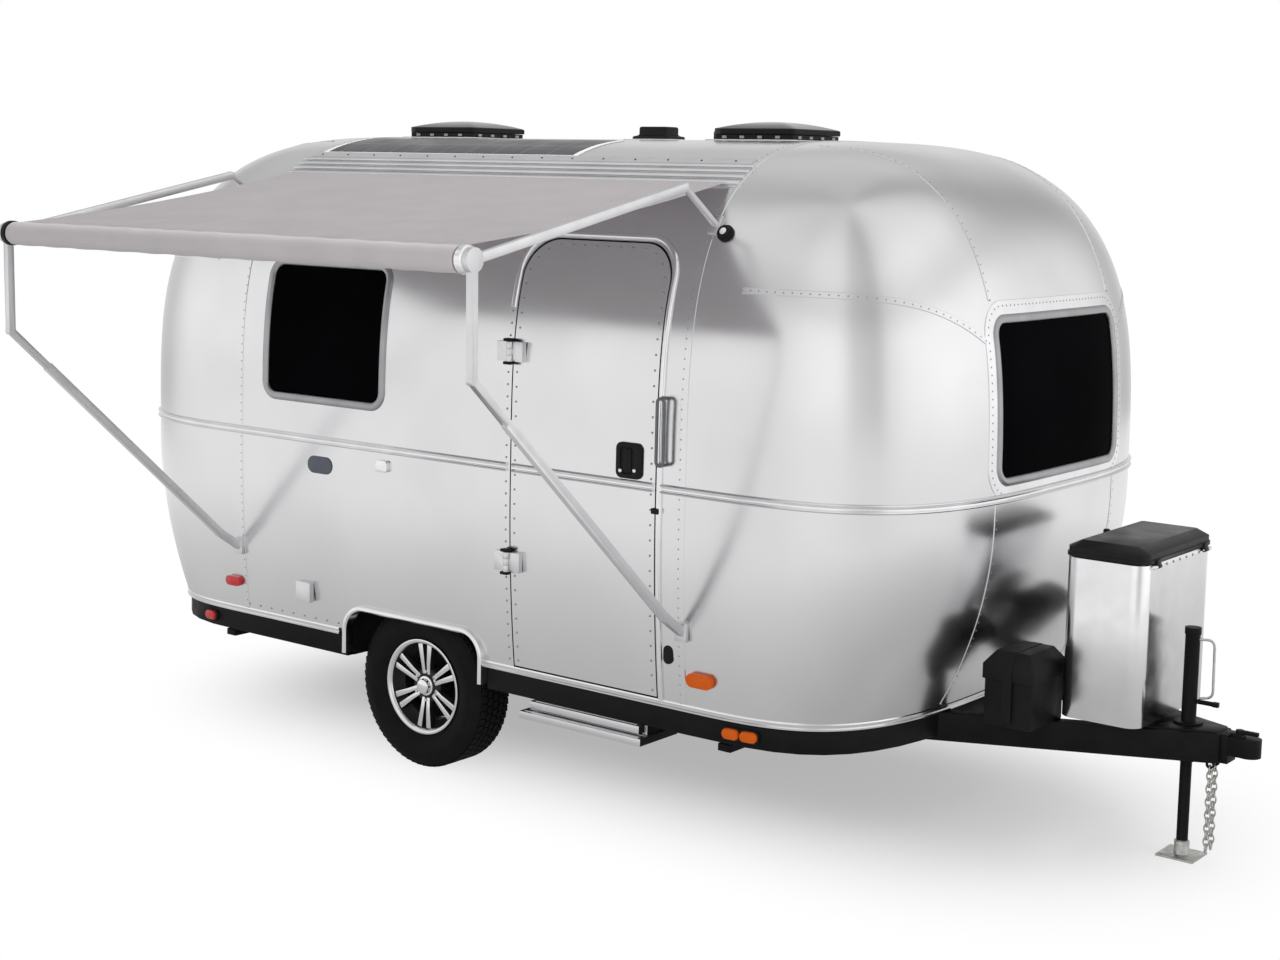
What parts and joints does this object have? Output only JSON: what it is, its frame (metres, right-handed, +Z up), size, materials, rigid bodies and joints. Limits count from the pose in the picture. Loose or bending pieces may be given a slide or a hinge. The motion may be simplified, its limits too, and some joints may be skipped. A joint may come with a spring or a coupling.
{
  "type": "travel caravan",
  "caption": "Rounded travel caravan with a riveted aluminium shell, hinged door, road wheels, side awning on folding arms, roof vents, gas bottle cover and tongue jack.",
  "frame": {"origin": "on the ground under the middle of the tongue jack's foot", "axes": "+X forward along the tongue, +Y to the street side, +Z up; the door and awning are at -Y"},
  "size_m": [5.285, 3.7199, 2.802],
  "materials": {
    "aluminium_skin": "polished",
    "bright_trim": "bright satin",
    "chassis_black": "satin black",
    "zinc": "zinc plated",
    "floor_ply": "vinyl on ply",
    "black_plastic": "satin",
    "hub_iron": "cast",
    "alloy_rim": "machined",
    "tyre_rubber": "matte",
    "window_frame": "satin grey",
    "dark_glass": "tinted",
    "grey_handle": "satin",
    "awning_cloth": "woven",
    "solar_film": "semi gloss",
    "smoked_plastic": "gloss",
    "white_paint": "gloss",
    "red_lens": "gloss",
    "amber_lens": "gloss",
    "grey_plastic": "satin"
  },
  "bodies": {
    "trailer": {"a_frame": "chassis_black", "coupler": "chassis_black", "jack_post": "chassis_black", "jack_leg": "zinc", "safety_chains": "zinc", "belly_pan": "chassis_black", "floor_deck": "floor_ply", "sill_rail": "bright_trim", "axle": "chassis_black", "wheel_wells": "black_plastic", "front_cap": "aluminium_skin", "rear_cap": "aluminium_skin", "curb_wall": "aluminium_skin", "street_wall": "aluminium_skin", "roof_panel": "aluminium_skin", "belt_moulding": "bright_trim", "arch_trims": "bright_trim", "window_frames": "window_frame", "window_glass": "dark_glass", "wall_hinge_leaves": "bright_trim", "grab_handle": "grey_handle", "awning_rail": "bright_trim", "awning_fabric": "awning_cloth", "awning_roller": "awning_cloth", "awning_rafters": "bright_trim", "awning_arms": "bright_trim", "solar_panel": "solar_film", "roof_antenna": "black_plastic", "vent_frames": "black_plastic", "gas_cover": "bright_trim", "gas_bottles": "white_paint", "battery_boxes": "black_plastic", "red_lamps": "red_lens", "amber_lamps": "amber_lens", "porch_lamp": "black_plastic", "entry_step": "bright_trim", "stabilisers": "chassis_black", "side_fittings": "grey_plastic"},
    "wheel_curb": {"hub_curb": "hub_iron", "rim_curb": "alloy_rim", "tyre_curb": "tyre_rubber"},
    "wheel_street": {"hub_street": "hub_iron", "rim_street": "alloy_rim", "tyre_street": "tyre_rubber"},
    "door": {"door_panel": "aluminium_skin", "door_belt": "bright_trim", "door_latch": "black_plastic", "door_hinge_leaves": "bright_trim"},
    "gas_cover_lid": {"gas_lid": "black_plastic"},
    "rear_vent_lid": {"vent_lid_rear": "smoked_plastic"},
    "front_vent_lid": {"vent_lid_front": "smoked_plastic"}
  },
  "joints": [
    {"name": "wheel_curb_spin", "type": "hinge", "parent": "trailer", "child": "wheel_curb", "pos_m": [-2.959, -1.034, 0.35], "axis": [0, 1, 0], "continuous": true},
    {"name": "wheel_street_spin", "type": "hinge", "parent": "trailer", "child": "wheel_street", "pos_m": [-2.959, 1.034, 0.35], "axis": [0, 1, 0], "continuous": true},
    {"name": "door_swing", "type": "hinge", "parent": "trailer", "child": "door", "pos_m": [-2.391, -1.2368, 1.42], "axis": [0, 0, -1], "range_deg": [0, 105]},
    {"name": "gas_lid_tilt", "type": "hinge", "parent": "trailer", "child": "gas_cover_lid", "pos_m": [-0.057, 0, 1.157], "axis": [0, 1, 0], "range_deg": [0, 100]},
    {"name": "rear_vent_tilt", "type": "hinge", "parent": "trailer", "child": "rear_vent_lid", "pos_m": [-3.956, 0, 2.752], "axis": [0, -1, 0], "range_deg": [0, 70]},
    {"name": "front_vent_tilt", "type": "hinge", "parent": "trailer", "child": "front_vent_lid", "pos_m": [-2.166, 0, 2.752], "axis": [0, -1, 0], "range_deg": [0, 70]}
  ]
}
